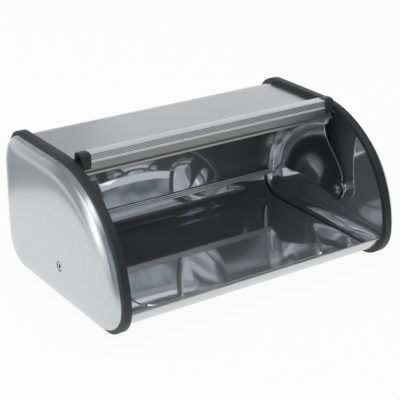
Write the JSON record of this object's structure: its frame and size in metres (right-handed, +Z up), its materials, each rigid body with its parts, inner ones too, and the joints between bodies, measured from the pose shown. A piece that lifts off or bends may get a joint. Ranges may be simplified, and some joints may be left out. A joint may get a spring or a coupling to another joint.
{
  "type": "bread box with roll top",
  "caption": "Steel bread box with a curved roll-back lid shown open, black plastic end rims, domed pressed end caps and a ribbed aluminium handle",
  "frame": {"origin": "middle of the box's outline seen from above, on the surface that it stands on", "axes": "X across the width, to the right of someone who faces the opening; Y to the back; Z up"},
  "size_m": [0.432, 0.274, 0.1918],
  "materials": {
    "brushed_steel": "fine satin grain outside along the sheet, bright inside",
    "polished_steel": "polished, mirror-like",
    "black_rim_plastic": "moulded, fine matt grain",
    "black_clip_plastic": "moulded, semi-matt",
    "handle_aluminium": "satin anodised extrusion",
    "pale_nylon": "natural nylon"
  },
  "bodies": {
    "housing": {"body_shell": "brushed_steel", "left_end_cap": "brushed_steel", "right_end_cap": "brushed_steel", "left_rim": "black_rim_plastic", "right_rim": "black_rim_plastic", "left_pivot_rivet": "polished_steel", "right_pivot_rivet": "polished_steel", "left_pivot_spacer": "pale_nylon", "right_pivot_spacer": "pale_nylon", "left_pivot_washer": "polished_steel", "right_pivot_washer": "polished_steel"},
    "lid": {"lid_sheet": "brushed_steel", "lid_rear_trim": "polished_steel", "left_lid_arm": "polished_steel", "right_lid_arm": "polished_steel", "left_arm_rivets": "polished_steel", "right_arm_rivets": "polished_steel", "handle_bar": "handle_aluminium", "left_handle_clip": "black_clip_plastic", "right_handle_clip": "black_clip_plastic", "handle_foot_screws": "polished_steel"}
  },
  "joints": [
    {"name": "lid_roll", "type": "hinge", "parent": "housing", "child": "lid", "pos_m": [0, -0.01852, 0.057], "axis": [1, 0, 0], "range_deg": [0, 96.2]}
  ]
}
